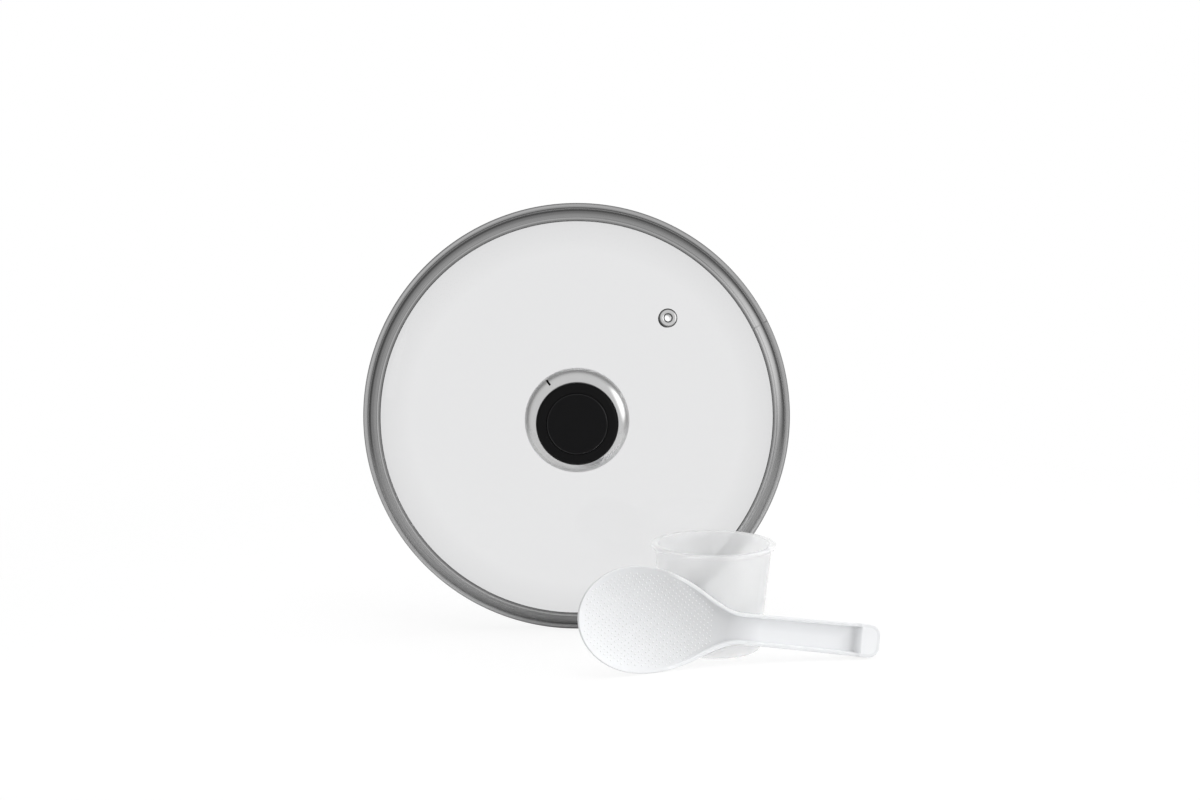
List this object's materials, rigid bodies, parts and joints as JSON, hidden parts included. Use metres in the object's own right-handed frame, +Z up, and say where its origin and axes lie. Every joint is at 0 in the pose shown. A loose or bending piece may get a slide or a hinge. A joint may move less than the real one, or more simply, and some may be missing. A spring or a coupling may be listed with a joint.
{
  "type": "rice cooker lid with measuring cup and paddle",
  "caption": "Domed glass lid with a steel rim, vent and round knob, standing behind a tapered measuring cup and a dotted rice paddle that leans on the cup.",
  "frame": {"origin": "middle of the set's bounding box in plan, on the surface it stands on", "axes": "+X to the right along the set's width, -Y towards the viewer, +Z up"},
  "size_m": [0.3058, 0.1412, 0.2591],
  "materials": {
    "glass": "clear tempered glass, faintly grey",
    "band_steel": "satin stainless, brushed along the rim",
    "polished_steel": "polished stainless",
    "zinc_steel": "zinc plated",
    "silicone": "matt translucent silicone",
    "black_rubber": "matt black rubber",
    "knob_black": "black phenolic, satin",
    "cap_black": "black, fine matt grain",
    "insert_brass": "turned brass",
    "cup_plastic": "natural translucent polypropylene",
    "paddle_plastic": "white polypropylene, dotted front"
  },
  "bodies": {
    "lid": {"lid_glass": "glass", "rim_band": "band_steel", "rim_seal": "silicone", "vent_eyelet": "polished_steel", "vent_ring": "polished_steel", "knob_base": "polished_steel", "base_gasket": "black_rubber", "screw_gasket": "silicone", "screw_washer": "zinc_steel", "lock_washer": "zinc_steel", "knob_screw": "zinc_steel"},
    "knob": {"knob": "knob_black", "knob_cap": "cap_black", "knob_insert": "insert_brass"},
    "cup": {"measuring_cup": "cup_plastic"},
    "paddle": {"rice_paddle": "paddle_plastic"}
  },
  "joints": [
    {"name": "knob_turn", "type": "hinge", "parent": "lid", "child": "knob", "pos_m": [-0.02294, 0.02573, 0.13173], "axis": [0, -0.9965, 0.0837], "continuous": true},
    {"name": "cup_pull", "type": "slide", "parent": "lid", "child": "cup", "axis": [0, -1, 0], "range_m": [0, 0.15]},
    {"name": "paddle_pull", "type": "slide", "parent": "cup", "child": "paddle", "axis": [0, -1, 0], "range_m": [0, 0.12]}
  ]
}
